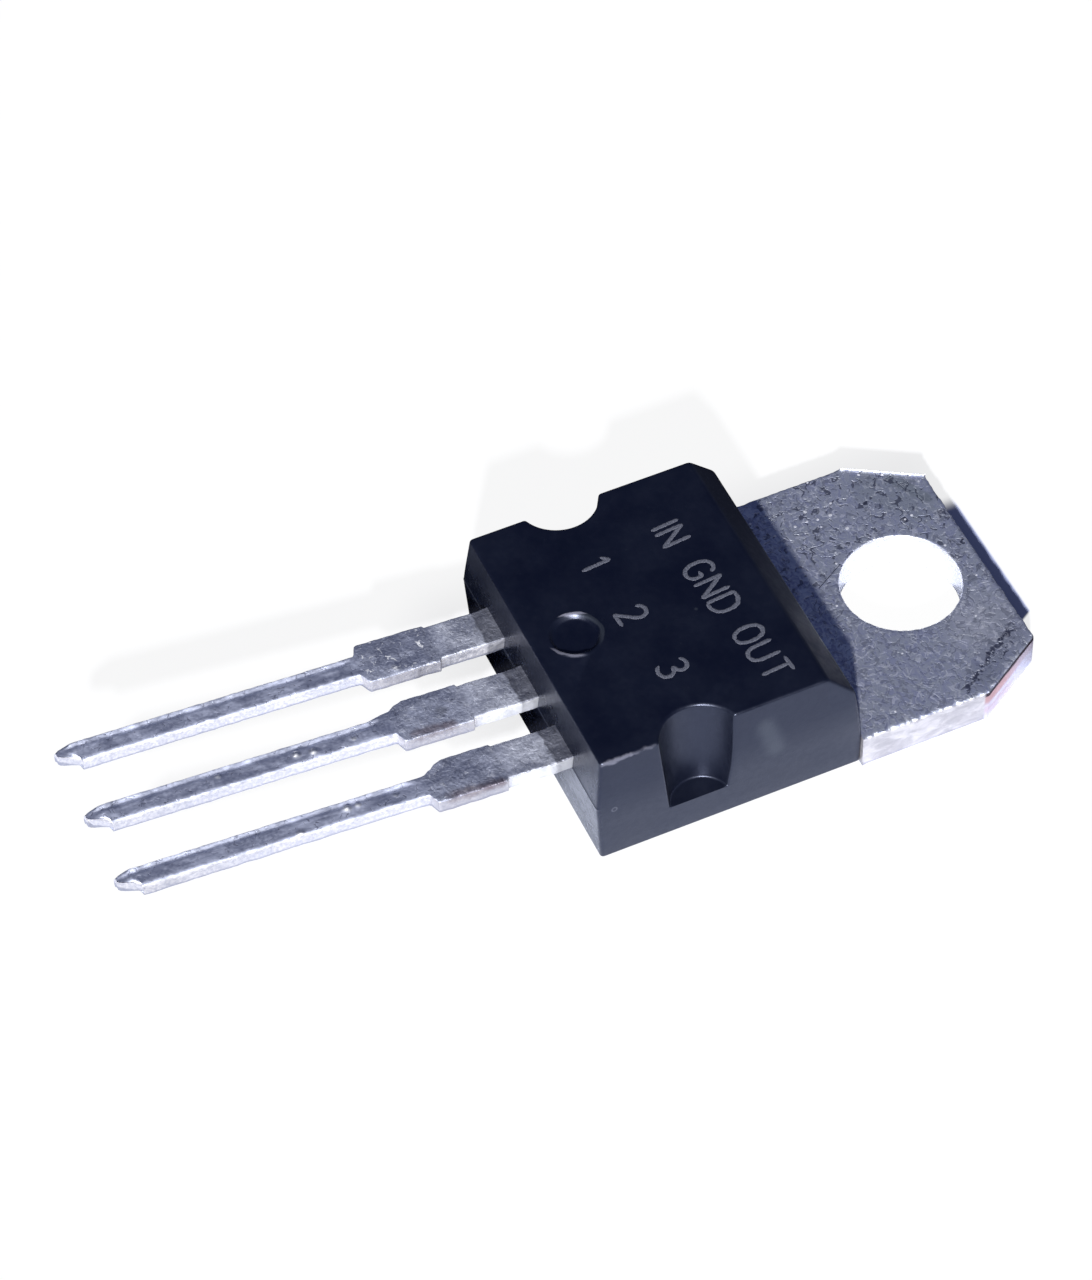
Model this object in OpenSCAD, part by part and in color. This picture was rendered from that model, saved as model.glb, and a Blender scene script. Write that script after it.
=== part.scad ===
// Three-lead voltage regulator in a flat-tab power package, in millimetres.
// It lies on its back: +Z is the marked face, +Y the tab and -Y the leads.
// The origin is the centre of the tab's hole, on the back face.

/* [Moulded body] */
// Width at the parting line
body_w = 10.1; // [9.8:0.1:10.6]
// Length from the tab's shoulder to the lead end, at the parting line
body_len = 8.85; // [8.5:0.05:9.4]
// Height of the marked face above the back of the tab
body_h = 4.5; // [4.4:0.05:4.8]
// Draft of the upper half, in degrees
draft_top = 6.5; // [3:0.5:8]
// Draft of the lower half, in degrees
draft_low = 3; // [1:0.5:6]
// Run of the bevel over the tab, along the part
bevel_run = 0.9; // [0.5:0.05:1.2]
// Drop of the bevel over the tab
bevel_drop = 0.95; // [0.5:0.05:1.2]
// How far the plastic stays short of the metal's back face
back_relief = 0.05; // [0.02:0.01:0.1]

/* [Side notches and ejector mark] */
// Radius of a side notch at the marked face
notch_r_top = 1.3; // [1.15:0.05:1.5]
// Radius of a side notch at its floor
notch_r_floor = 1; // [0.8:0.05:1.1]
// How far a notch's centre lies outside the moulding's side
notch_out = 0.2; // [0:0.05:0.4]
// Distance of a notch's centre from the lead end
notch_from_end = 3.35; // [3.2:0.05:3.8]
// Plastic left between a notch's floor and the level of the tab's top
notch_web = 0.13; // [0.05:0.01:0.3]
// Diameter of the ejector mark
mark_d = 1.55; // [1:0.05:1.8]
// Depth of the ejector mark
mark_depth = 0.12; // [0.05:0.01:0.2]
// Distance of the ejector mark's centre from the lead end
mark_from_end = 1.6; // [1.3:0.05:2]

/* [Heat tab] */
// How far each side of the tab stands out past the moulding's parting line
tab_proud = 0.025; // [0:0.025:0.1]
// Thickness of the tab
tab_t = 1.27; // [1.2:0.01:1.35]
// Length of the tab outside the moulding
tab_len = 6.6; // [6.2:0.05:6.9]
// Length of a corner cut, along the part
corner_run = 2.3; // [1:0.1:2.6]
// Width of a corner cut, across the part
corner_in = 1.4; // [0.8:0.1:2]
// Diameter of the mounting hole
hole_d = 3.85; // [3.5:0.05:4]
// Distance from the hole's centre to the tab's end
hole_to_end = 2.75; // [2.6:0.05:2.95]
// Width of the pad inside the moulding
pad_w = 8.4; // [7.8:0.1:8.8]
// Length of the pad inside the moulding
pad_len = 5.7; // [5.4:0.05:6]
// Ledge round the pad's lower edge that the plastic grips
ledge_in = 0.4; // [0.2:0.05:0.6]
// Height of that ledge above the back
ledge_h = 0.5; // [0.3:0.05:0.7]

/* [Leads] */
// Spacing of the leads
lead_pitch = 2.54; // [2.5:0.01:2.6]
// Thickness of the leads
lead_t = 0.5; // [0.4:0.01:0.6]
// Height of the leads' underside above the back, which is also the parting line
lead_level = 2.6; // [2.4:0.05:2.7]
// Length of the leads outside the moulding, seen from above
lead_len = 14.05; // [12.7:0.05:14.7]
// Upward slope of the leads outside the moulding, in degrees
lead_lift = 4.5; // [0:0.5:6]
// Distance from the moulding to the place where that slope starts
lift_from = 0.4; // [0.2:0.05:1]
// Width of a lead at the moulding
root_w = 1.38; // [1.2:0.02:1.46]
// Width over the stub that the trimming of the frame leaves
stub_w = 1.56; // [1.5:0.02:1.7]
// Distance from the moulding to the stub
stub_from = 2.05; // [1.5:0.05:2.5]
// Distance from the moulding to the stub's outer end
stub_to = 4.3; // [3.6:0.05:5]
// Length of the neck behind the stub
neck_run = 0.25; // [0.1:0.05:0.5]
// Width of the narrow part
narrow_w = 0.8; // [0.65:0.01:0.9]
// Width of the tip
tip_w = 0.45; // [0.3:0.05:0.6]
// Length of the tapered tip
tip_run = 0.5; // [0.3:0.1:1]

/* [Lead posts inside the moulding] */
// Width of an outer lead's post
post_w = 2.2; // [2:0.05:2.3]
// Length of an outer lead's post
post_len = 1.5; // [1.4:0.05:1.7]
// Distance of the posts from the lead end
post_from_end = 0.9; // [0.7:0.05:1]
// Diameter of the anchor hole in each post
anchor_d = 0.6; // [0.4:0.05:0.7]
// Width of the strap that joins the middle lead to the pad
strap_w = 2; // [1.6:0.05:2.1]
// Length of the strap's slope
strap_run = 1.2; // [1:0.05:1.4]
// Distance from the pad to the start of that slope
strap_from = 0.15; // [0.1:0.05:0.3]

/* [Chip and bond wires] */
// Width of the chip, across the part
die_w = 2.4; // [1.8:0.1:2.8]
// Length of the chip, along the part
die_len = 2; // [1.6:0.1:2.2]
// Thickness of the chip
die_t = 0.28; // [0.2:0.01:0.35]
// Distance of the chip's centre from the tab's shoulder
die_from_shoulder = 3.6; // [3.2:0.05:3.9]
// Thickness of the solder under the chip
solder_t = 0.05; // [0.03:0.01:0.08]
// How far the solder stands out round the chip
solder_rim = 0.12; // [0.05:0.01:0.2]
// Diameter of the bond wires
wire_d = 0.25; // [0.15:0.01:0.3]
// Diameter of a bond's foot
foot_d = 0.45; // [0.4:0.01:0.55]
// Thickness of a bond's foot
foot_t = 0.08; // [0.05:0.01:0.12]
// Height of a long wire's loop over the straight line between its feet
loop_rise = 1.1; // [0.9:0.05:1.2]
// Height of the short ground wire's loop
short_rise = 0.5; // [0.4:0.05:0.6]
// Distance of a bond from the chip's edge
bond_edge = 0.35; // [0.3:0.05:0.5]

/* [Hidden] */
$fn = 64;
// Amount by which a cutter passes the surface that it cuts
lap = 1;

tab_w = body_w + 2 * tab_proud;
shoulder_y = hole_to_end - tab_len;
end_y = shoulder_y - body_len;
pad_y = shoulder_y - pad_len;
bevel_z = body_h - bevel_drop;
bevel_y = shoulder_y - (bevel_z - tab_t) * tan(draft_top);
inset_top = (body_h - lead_level) * tan(draft_top);
inset_low = (lead_level - back_relief) * tan(draft_low);

notch_x = body_w / 2 + notch_out;
notch_y = end_y + notch_from_end;
notch_floor = tab_t + notch_web;

solder_top = tab_t + solder_t;
die_top = solder_top + die_t;
lead_top = lead_level + lead_t;
die_y = shoulder_y - die_from_shoulder;
bond_y = die_y - die_len / 2 + bond_edge;
bond_x = die_w / 2 - bond_edge;
// The wire's bond on a post lies on the chip's side of the anchor hole
post_bond_y = end_y + post_from_end + post_len - foot_d;
anchor_y = end_y + post_from_end + anchor_d;
ground_bond_y = die_y - die_len / 2 - (die_y - die_len / 2 - pad_y) / 2;

// Upward normal of a step of a path that runs towards -Y
function step_normal(a, b) = [b[1] - a[1], a[0] - b[0]] / norm(b - a);

// Offset of point i of a path, so that a strip along it keeps one thickness round its bends
function mitre(path, i) =
    let (before = step_normal(path[max(i - 1, 0)], path[max(i, 1)]),
         after = step_normal(path[min(i, len(path) - 2)], path[min(i + 1, len(path) - 1)]))
    (before + after) / (1 + before * after);

// Outline in the Y-Z plane of a strip of the leads' thickness over a path
function strip(path) =
    concat(path, [for (i = [len(path) - 1 : -1 : 0]) path[i] + lead_t * mitre(path, i)]);

// The outer part of every lead's underside, as a path in the Y-Z plane
outer_path = [
    [end_y - lift_from, lead_level],
    [end_y - lead_len, lead_level + (lead_len - lift_from) * tan(lead_lift)]
];

// Width of a lead at distances outside the moulding
outer_widths = [
    [0, root_w], [stub_from, root_w], [stub_from, stub_w], [stub_to, stub_w],
    [stub_to + neck_run, narrow_w], [lead_len - tip_run, narrow_w], [lead_len, tip_w]
];

// Plan of a lead, from its pairs of distance and width
module lead_plan(widths) {
    right = [for (p = widths) [p[1] / 2, end_y - p[0]]];
    left = [for (i = [len(widths) - 1 : -1 : 0]) [-widths[i][1] / 2, end_y - widths[i][0]]];
    polygon(concat(right, left));
}

// A stamped and bent lead: its side outline, cut to its plan
module bent_lead(path, inner_widths) {
    intersection() {
        rotate([90, 0, 90])
            linear_extrude(body_w, center = true)
                polygon(strip(path));
        linear_extrude(lead_top + lead_len)
            lead_plan(concat(inner_widths, outer_widths));
    }
}

// One outer lead, with the post that its bond wire lands on. side is -1 for input, 1 for output.
module outer_lead(side) {
    post_end = post_from_end + post_len;
    translate([side * lead_pitch, 0, 0])
        difference() {
            bent_lead(
                concat([[end_y + post_end, lead_level]], outer_path),
                [[-post_end, post_w], [-post_from_end, post_w], [-post_from_end, root_w]]);
            translate([0, anchor_y, lead_level - lap])
                cylinder(h = lead_t + 2 * lap, d = anchor_d);
        }
}

// The middle lead, which steps down to the pad that it is stamped with
module middle_lead() {
    foot_y = pad_y + ledge_in;
    slope_y = pad_y - strap_from;
    low = tab_t - lead_t;
    bent_lead(
        concat([[foot_y, low], [slope_y, low], [slope_y - strap_run, lead_level]], outer_path),
        [[end_y - foot_y, strap_w], [-post_from_end, strap_w], [-post_from_end, root_w]]);
}

// Plan of the tab outside the moulding
module tab_plan() {
    side = tab_w / 2;
    polygon([
        [-side, shoulder_y], [side, shoulder_y], [side, hole_to_end - corner_run],
        [side - corner_in, hole_to_end], [corner_in - side, hole_to_end], [-side, hole_to_end - corner_run]
    ]);
}

// The pad that carries the chip, with the ledge under its edge
module pad() {
    translate([-pad_w / 2, pad_y, ledge_h])
        cube([pad_w, pad_len, tab_t - ledge_h]);
    translate([ledge_in - pad_w / 2, pad_y + ledge_in, 0])
        cube([pad_w - 2 * ledge_in, pad_len - ledge_in, ledge_h]);
}

module tab_metal() {
    difference() {
        linear_extrude(tab_t) tab_plan();
        translate([0, 0, -lap])
            cylinder(h = tab_t + 2 * lap, d = hole_d, $fn = 96);
    }
    pad();
    middle_lead();
}

module solder_layer() {
    w = die_w + 2 * solder_rim;
    l = die_len + 2 * solder_rim;
    translate([-w / 2, die_y - l / 2, tab_t])
        cube([w, l, solder_t]);
}

module chip() {
    translate([-die_w / 2, die_y - die_len / 2, solder_top])
        cube([die_w, die_len, die_t]);
}

// A bond wire between two feet: an arc of a ring in the upright plane through both.
// a lies on the chip's side, b on the other, and rise is the arc's height over their straight line.
module bond_wire(a, b, rise) {
    run = norm([b[0] - a[0], b[1] - a[1]]);
    chord = norm([run, b[2] - a[2]]);
    ring_r = (chord * chord / 4 + rise * rise) / (2 * rise);
    down = ring_r - rise;
    ring_x = run / 2 + down * (b[2] - a[2]) / chord;
    ring_z = (a[2] + b[2]) / 2 - down * run / chord;
    size = 4 * ring_r;
    translate([a[0], a[1], 0])
        rotate([0, 0, atan2(b[1] - a[1], b[0] - a[0])]) {
            intersection() {
                translate([ring_x, 0, ring_z])
                    rotate([90, 0, 0])
                        rotate_extrude()
                            translate([ring_r, 0]) circle(d = wire_d, $fn = 24);
                union() {
                    translate([ring_x - size, -size / 2, a[2]]) cube(size);
                    translate([ring_x, -size / 2, b[2]]) cube(size);
                }
            }
            translate([0, 0, a[2]]) cylinder(h = foot_t, d = foot_d, $fn = 32);
            translate([run, 0, b[2]]) cylinder(h = foot_t, d = foot_d, $fn = 32);
        }
}

// The wire from the chip to an outer lead's post. side is -1 for input, 1 for output.
module post_wire(side) {
    bond_wire([side * bond_x, bond_y, die_top], [side * lead_pitch, post_bond_y, lead_top], loop_rise);
}

// The wire from the chip down to the pad
module pad_wire() {
    bond_wire([0, bond_y, die_top], [0, ground_bond_y, tab_t], short_rise);
}

// Everything that the plastic is moulded round
module enclosed_parts() {
    tab_metal();
    outer_lead(-1);
    outer_lead(1);
    solder_layer();
    chip();
    post_wire(-1);
    post_wire(1);
    pad_wire();
}

// The block before its notches: where its side outline and its end outline overlap
module drafted_block() {
    half = body_w / 2;
    intersection() {
        rotate([90, 0, 90])
            linear_extrude(body_w + lap, center = true)
                polygon([
                    [end_y + inset_low, back_relief], [end_y, lead_level], [end_y + inset_top, body_h],
                    [bevel_y - bevel_run, body_h], [bevel_y, bevel_z],
                    [shoulder_y, tab_t], [shoulder_y, back_relief]
                ]);
        translate([0, shoulder_y + lap, 0])
            rotate([90, 0, 0])
                linear_extrude(body_len + 2 * lap)
                    polygon([
                        [-half + inset_low, back_relief], [half - inset_low, back_relief],
                        [half, lead_level], [half - inset_top, body_h],
                        [inset_top - half, body_h], [-half, lead_level]
                    ]);
    }
}

// A side notch, wider at the marked face. side is -1 or 1.
module side_notch(side) {
    height = body_h - notch_floor;
    widening = (notch_r_top - notch_r_floor) / height;
    translate([side * notch_x, notch_y, notch_floor])
        cylinder(h = height + lap, r1 = notch_r_floor, r2 = notch_r_top + lap * widening);
}

module ejector_mark() {
    translate([0, end_y + mark_from_end, body_h - mark_depth])
        cylinder(h = mark_depth + lap, d = mark_d);
}

module moulded_body() {
    color([0.08, 0.09, 0.13])
        difference() {
            drafted_block();
            side_notch(-1);
            side_notch(1);
            ejector_mark();
            enclosed_parts();
        }
}

module heat_tab() {
    color([0.56, 0.57, 0.63]) tab_metal();
}

module input_lead() {
    color([0.72, 0.73, 0.77]) outer_lead(-1);
}

module output_lead() {
    color([0.72, 0.73, 0.77]) outer_lead(1);
}

module silicon_die() {
    color([0.3, 0.32, 0.38]) chip();
}

module die_solder() {
    color([0.62, 0.62, 0.6]) solder_layer();
}

module input_wire() {
    color([0.85, 0.85, 0.86]) post_wire(-1);
}

module output_wire() {
    color([0.85, 0.85, 0.86]) post_wire(1);
}

module ground_wire() {
    color([0.85, 0.85, 0.86]) pad_wire();
}

moulded_body();
heat_tab();
input_lead();
output_lead();
silicon_die();
die_solder();
input_wire();
output_wire();
ground_wire();
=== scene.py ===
import math

import bmesh
import bpy
from mathutils import Matrix, Vector, noise


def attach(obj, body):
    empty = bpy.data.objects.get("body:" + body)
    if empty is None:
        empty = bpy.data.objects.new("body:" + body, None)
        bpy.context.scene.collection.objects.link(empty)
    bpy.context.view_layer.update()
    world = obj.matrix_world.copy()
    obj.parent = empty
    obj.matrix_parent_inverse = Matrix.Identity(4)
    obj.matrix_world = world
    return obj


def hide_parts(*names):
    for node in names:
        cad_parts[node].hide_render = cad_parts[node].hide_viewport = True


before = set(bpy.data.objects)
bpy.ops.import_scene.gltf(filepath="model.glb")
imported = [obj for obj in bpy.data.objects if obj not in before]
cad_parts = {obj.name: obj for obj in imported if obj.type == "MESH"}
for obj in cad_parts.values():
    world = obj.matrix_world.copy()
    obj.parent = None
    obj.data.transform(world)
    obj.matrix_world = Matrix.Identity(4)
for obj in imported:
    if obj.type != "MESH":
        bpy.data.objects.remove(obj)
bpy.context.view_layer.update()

# Three-lead voltage regulator lying on its back. Lengths below are millimetres in the CAD's frame.
MM = 0.001

# Moulding
HALF_W = 5.05
TOP = 4.5
PARTING = 2.6
RELIEF = 0.05
SHOULDER = -3.85
LEAD_END = -12.70
INSET_TOP = 0.2165
INSET_LOW = 0.1336
BEVEL_Y = -4.11
BEVEL_Z = 3.55
BEVEL_RUN = 0.9
NOTCH = (5.25, -9.35)
NOTCH_FLOOR = 1.4
NOTCH_R_FLOOR = 1.0
NOTCH_R_TOP = 1.3
MARK = (0.0, -11.1)

# Metal
TAB_T = 1.27
TAB_HALF = 5.075
TAB_END = 2.75
CORNER_RUN = 2.3
CORNER_IN = 1.4
HOLE_R = 1.925
PAD_HALF = 4.2
PAD_Y = -9.55
LEDGE = 0.4
LEDGE_H = 0.5
PITCH = 2.54
LEAD_T = 0.5
LEAD_LEN = 14.05
LEAD_LIFT = math.tan(math.radians(4.5))
LIFT_FROM = 0.4
CHAMFER_WAY = Vector((CORNER_RUN, CORNER_IN)).normalized()
CHAMFER_REACH = CHAMFER_WAY.dot(Vector((TAB_HALF, TAB_END - CORNER_RUN)))


# Helpers for shapes

def blend(a, b, t):
    return a + (b - a) * t


def smooth(t):
    """0 to 1 with level ends."""
    t = min(max(t, 0.0), 1.0)
    return t * t * (3 - 2 * t)


def corner_curve(a, corner, b, steps):
    """Points of a rounded corner from a to b, both ends included."""
    a, corner, b = Vector(a), Vector(corner), Vector(b)
    made = []
    for i in range(steps + 1):
        t = i / steps
        made.append(a * (1 - t) ** 2 + corner * (2 * t * (1 - t)) + b * t * t)
    return made


def rounded(points, radii, steps=5):
    """A line of 2D points with each inner corner rounded by its radius."""
    points = [Vector(p) for p in points]
    made = [points[0]]
    for before, corner, after, radius in zip(points, points[1:], points[2:], radii):
        back = (before - corner).normalized()
        on = (after - corner).normalized()
        turn = math.pi - back.angle(on)
        cut = radius * math.tan(turn / 2)
        made += corner_curve(corner + back * cut, corner, corner + on * cut, steps)
    return made + [points[-1]]


def offset_at(profile, z):
    """The offset of an upright profile at height z. The profile rises from point to point."""
    for a, b in zip(profile, profile[1:]):
        if z <= b[1] + 1e-9 and b[1] - a[1] > 1e-9:
            t = min(max((z - a[1]) / (b[1] - a[1]), 0.0), 1.0)
            return blend(a[0], b[0], t)
    return profile[-1][0]


def ring_faces(first, second):
    """Quads between two rings of vertex numbers."""
    count = len(first)
    return [(first[i], first[(i + 1) % count], second[(i + 1) % count], second[i]) for i in range(count)]


def loft(rings, cap_start=True, cap_end=True, closed=False):
    """Vertices and faces of a skin over rings of 3D points. closed joins the last ring to the first."""
    verts = [p for ring in rings for p in ring]
    size = len(rings[0])
    numbers = [list(range(i * size, (i + 1) * size)) for i in range(len(rings))]
    faces = []
    for a, b in zip(numbers, numbers[1:]):
        faces += ring_faces(a, b)
    if closed:
        faces += ring_faces(numbers[-1], numbers[0])
    else:
        if cap_start:
            faces.append(tuple(reversed(numbers[0])))
        if cap_end:
            faces.append(tuple(numbers[-1]))
    return verts, faces


def join(*parts):
    """One vertex and face list from several."""
    verts, faces = [], []
    for more, its_faces in parts:
        start = len(verts)
        verts += list(more)
        faces += [tuple(i + start for i in f) for f in its_faces]
    return verts, faces


def between(a, b, steps):
    """The points between a and b that divide their line into steps."""
    return [a.lerp(b, i / steps) for i in range(1, steps)]


def ripple(x, y, z):
    """Smooth noise between about -1 and 1."""
    return noise.noise(Vector((x, y, z)))


def lumps(p, size, height, seed=0.0):
    """A smooth random height at point p, for bumps of about that size."""
    return noise.noise(Vector(p) / size + Vector((seed, seed * 1.7, -seed))) * height


def put(name, data):
    """A new object in the scene."""
    made = bpy.data.objects.new(name, data)
    bpy.context.scene.collection.objects.link(made)
    return made


def make_piece(name, shape, material, nodes, sharp, also=None):
    """A piece from millimetre vertices and faces, with its material, hiding the CAD nodes it stands for.
    also is a second material and a test of a face's centre that says which faces have it."""
    verts, faces = shape
    mesh = bpy.data.meshes.new(name)
    mesh.from_pydata([Vector(v) * MM for v in verts], [], faces)
    mesh.validate()
    made = bmesh.new()
    made.from_mesh(mesh)
    bmesh.ops.recalc_face_normals(made, faces=made.faces)
    made.to_mesh(mesh)
    made.free()
    curved = [abs(f.normal.z) <= 0.99999 or len(f.vertices) != 3 for f in mesh.polygons]
    mesh.polygons.foreach_set("use_smooth", curved)
    mesh.set_sharp_from_angle(angle=math.radians(sharp))
    mesh.materials.append(material)
    if also:
        mesh.materials.append(also[0])
        mesh.polygons.foreach_set("material_index", [int(also[1](f.center / MM)) for f in mesh.polygons])
    piece = put(name, mesh)
    even = piece.modifiers.new("even_shading", "WEIGHTED_NORMAL")
    even.keep_sharp = True
    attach(piece, "root")
    if nodes:
        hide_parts(*nodes)


# Helpers for materials. A mask is 1 where something shows and 0 elsewhere. Colours are linear RGB.

class Field:
    """A node's output. Arithmetic on it adds nodes to the same shader."""

    def __init__(self, socket):
        self.socket = socket
        self.tree = socket.id_data

    def __add__(self, other):
        return maths("ADD", self, other)

    def __sub__(self, other):
        return maths("SUBTRACT", self, other)

    def __rsub__(self, other):
        return maths("SUBTRACT", other, self)

    def __mul__(self, other):
        return maths("MULTIPLY", self, other)

    def __abs__(self):
        return maths("ABSOLUTE", self)

    def feed(self, target):
        self.tree.links.new(self.socket, target)


def field(kind, inputs, output=0, tree=None, **settings):
    """The output of a new node of that kind. An input is a plain value or a field, which gives the tree."""
    if tree is None:
        tree = next(value.tree for value in inputs.values() if isinstance(value, Field))
    made = tree.nodes.new("ShaderNode" + kind)
    for key, value in settings.items():
        setattr(made, key, value)
    for key, value in inputs.items():
        if isinstance(value, Field):
            value.feed(made.inputs[key])
        else:
            made.inputs[key].default_value = value
    return Field(made.outputs[output])


def maths(operation, a, b=0.0, clamp=False):
    return field("Math", {0: a, 1: b}, operation=operation, use_clamp=clamp)


def highest(*masks):
    made = masks[0]
    for mask in masks[1:]:
        made = maths("MAXIMUM", made, mask)
    return made


def vectors(operation, a, b):
    """A vector from two vectors."""
    return field("VectorMath", {0: a, 1: b}, operation=operation)


def measure(operation, a, b):
    """A number from two vectors, such as their distance or dot product."""
    return field("VectorMath", {0: a, 1: b}, "Value", operation=operation)


def scaled(vector, by):
    return field("VectorMath", {0: vector, "Scale": by}, operation="SCALE")


def axis(where, name):
    return field("SeparateXYZ", {0: where}, name)


def metres(point):
    return tuple(c * MM for c in point)


def mix(factor, a, b):
    """A mix of two colours, each a tuple of three or a field."""
    a, b = ((*c, 1) if isinstance(c, tuple) else c for c in (a, b))
    return field("Mix", {0: factor, 6: a, 7: b}, 2, data_type="RGBA")


def layers(tone, *coats):
    """Lays coats, each a mask and a colour, over a tone."""
    for mask, colour in coats:
        tone = mix(mask, tone, colour)
    return tone


def ramp(value, low, high, out_low=0.0, out_high=1.0):
    """Maps value from low..high to out_low..out_high, held at both ends."""
    keys = {"Value": value, "From Min": low, "From Max": high, "To Min": out_low, "To Max": out_high}
    return field("MapRange", keys, interpolation_type="SMOOTHSTEP")


def ramp_mm(length, low, high, out_low=0.0, out_high=1.0):
    """The same with low and high in millimetres."""
    return ramp(length, low * MM, high * MM, out_low, out_high)


def place(tree):
    """The point on the object, in metres."""
    return field("TexCoord", {}, "Object", tree)


def speckle(where, size_mm, detail=2.0, rough=0.5, distortion=0.0):
    """Noise whose features are about size_mm across."""
    keys = {"Vector": where, "Scale": 1 / (size_mm * MM), "Detail": detail, "Roughness": rough,
            "Distortion": distortion}
    return field("TexNoise", keys)


def cells(where, size_mm, output="Distance"):
    keys = {"Vector": where, "Scale": 1 / (size_mm * MM)}
    return field("TexVoronoi", keys, output, feature="F1")


def relief(height, strength, depth_mm, below=None):
    """A bump of that depth, on top of another where one is given."""
    keys = {"Height": height, "Strength": strength, "Distance": depth_mm * MM}
    if below is not None:
        keys["Normal"] = below
    return field("Bump", keys)


def new_material(name):
    """A material, the point on its object and its shader."""
    made = bpy.data.materials.new(name)
    made.use_nodes = True
    return made, place(made.node_tree), made.node_tree.nodes["Principled BSDF"]


def dress(shader, tone, gloss, normal, metal=0.0):
    """Gives a shader its colour, roughness, relief and metal."""
    tone.feed(shader.inputs["Base Color"])
    gloss.feed(shader.inputs["Roughness"])
    normal.feed(shader.inputs["Normal"])
    shader.inputs["Metallic"].default_value = metal


def spot(where, centre, radius_mm, soft_mm):
    """1 inside a ball round a point in millimetres, fading to 0."""
    return ramp_mm(measure("DISTANCE", where, metres(centre)), radius_mm, radius_mm + soft_mm, 1.0, 0.0)


def rod(where, a, b, half_mm, soft_mm):
    """1 inside a rod between two points in millimetres, fading to 0."""
    a = Vector(a) * MM
    run = Vector(b) * MM - a
    away = vectors("SUBTRACT", where, tuple(a))
    share = maths("MULTIPLY", measure("DOT_PRODUCT", away, tuple(run / run.length_squared)), 1.0, True)
    along = scaled(tuple(run), share)
    return ramp_mm(measure("DISTANCE", away, along), half_mm, half_mm + soft_mm, 1.0, 0.0)


def shifted(where, by_mm):
    return vectors("ADD", where, (by_mm * MM,) * 3)


def stretched(where, scales):
    """Coordinates scaled along each axis. A small scale draws a texture out along its axis."""
    return vectors("MULTIPLY", where, scales)


def shaken(where, size_mm, by_mm):
    """Coordinates pushed about by noise, for ragged marks."""
    keys = {"Vector": where, "Scale": 1 / (size_mm * MM), "Detail": 2.0}
    push = vectors("SUBTRACT", field("TexNoise", keys, "Color"), (0.5, 0.5, 0.5))
    return vectors("ADD", where, scaled(push, by_mm * MM * 2))


def worms(where, size_mm, width, cover):
    """Short crooked strokes: level lines of one noise, broken up by another."""
    line = ramp(abs(speckle(where, size_mm, 1.0, 0.4, 0.7) - 0.5), width * 0.3, width, 1.0, 0.0)
    return line * ramp(speckle(shifted(where, 2.3), size_mm * 0.8), cover, cover + 0.05)


def flecks(where, size_mm, share):
    """Small round flecks in that share of the cells of that size."""
    value = field("SeparateColor", {0: cells(where, size_mm, "Color")})
    near = ramp(cells(where, size_mm), 0.07, 0.17, 1.0, 0.0)
    return near * ramp(value, 1 - share, 1 - share + 0.02)


def upright(where):
    """1 on walls and 0 on level faces, by the object's own normal."""
    normal = field("TexCoord", {}, "Normal", where.tree)
    return ramp(abs(axis(normal, "Z")), 0.35, 0.75, 1.0, 0.0)


# Black epoxy and the print on it. A tone of two colours is mixed by a texture.

EPOXY = ((0.0022, 0.0032, 0.0088), (0.004, 0.0055, 0.0122))
# Painted sheen: the bevel over the tab is painted paler than the top, for the light it catches.
BEVEL_SHEEN_TONE = (0.012, 0.016, 0.028)
# Pale tone of the smears and specks, also used for a painted sheen on the bevel and a painted highlight on
# the ejector mark's rim.
SMEAR_AND_SHEEN_TONE = (0.024, 0.028, 0.036)
WORN_TONE = (0.10, 0.10, 0.125)
# Painted highlight on the ejector mark's rim.
RIM_HIGHLIGHT_TONE = (0.22, 0.22, 0.27)
PRINT = ((0.042, 0.047, 0.066), (0.115, 0.12, 0.15))
# A ring has a centre, an outer and an inner radius and a soft edge. A spot has a centre, a radius and a
# soft edge. A rod has two ends, a half width and a soft edge.
PIT_RING = ((5.0, -12.14, 2.38), 0.09, 0.05, 0.03)
RIM_RING = ((*MARK, TOP), 0.86, 0.72, 0.05)
DOT_SPOT = ((0.66, -7.39, 4.5), 0.02, 0.06)
SMEAR_ROD = ((4.95, -7.12, 3.5), (4.95, -6.8, 2.4), 0.02, 0.5)
SHEEN_ROD = ((0.4, -4.5, 4.0), (2.6, -4.5, 4.0), 0.1, 0.75)
WORN_ROD = ((4.86, -12.75, 4.42), (4.86, -11.5, 4.45), 0.03, 0.10)
FAINT_ROD = ((4.86, -11.5, 4.45), (4.86, -10.7, 4.47), 0.0, 0.10)


def on_bevel(where):
    """1 on the bevel over the tab."""
    inner = BEVEL_Y - BEVEL_RUN
    return ramp_mm(axis(where, "Y"), inner - 0.05, inner + 0.05) * ramp_mm(axis(where, "Z"), 2.9, 3.4)


def ring_at(where, centre, outer, inner, soft):
    """1 on a ring between two radii in millimetres."""
    return maths("SUBTRACT", spot(where, centre, outer, soft), spot(where, centre, inner, soft), True)


def rim_arc(where, towards, start, full):
    """An arc of the ejector mark's rim: 0 at start and 1 at full, in millimetres along a direction."""
    way = vectors("SUBTRACT", where, metres(RIM_RING[0]))
    return ring_at(where, *RIM_RING) * ramp_mm(measure("DOT_PRODUCT", way, (*towards, 0.0)), start, full)


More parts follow.
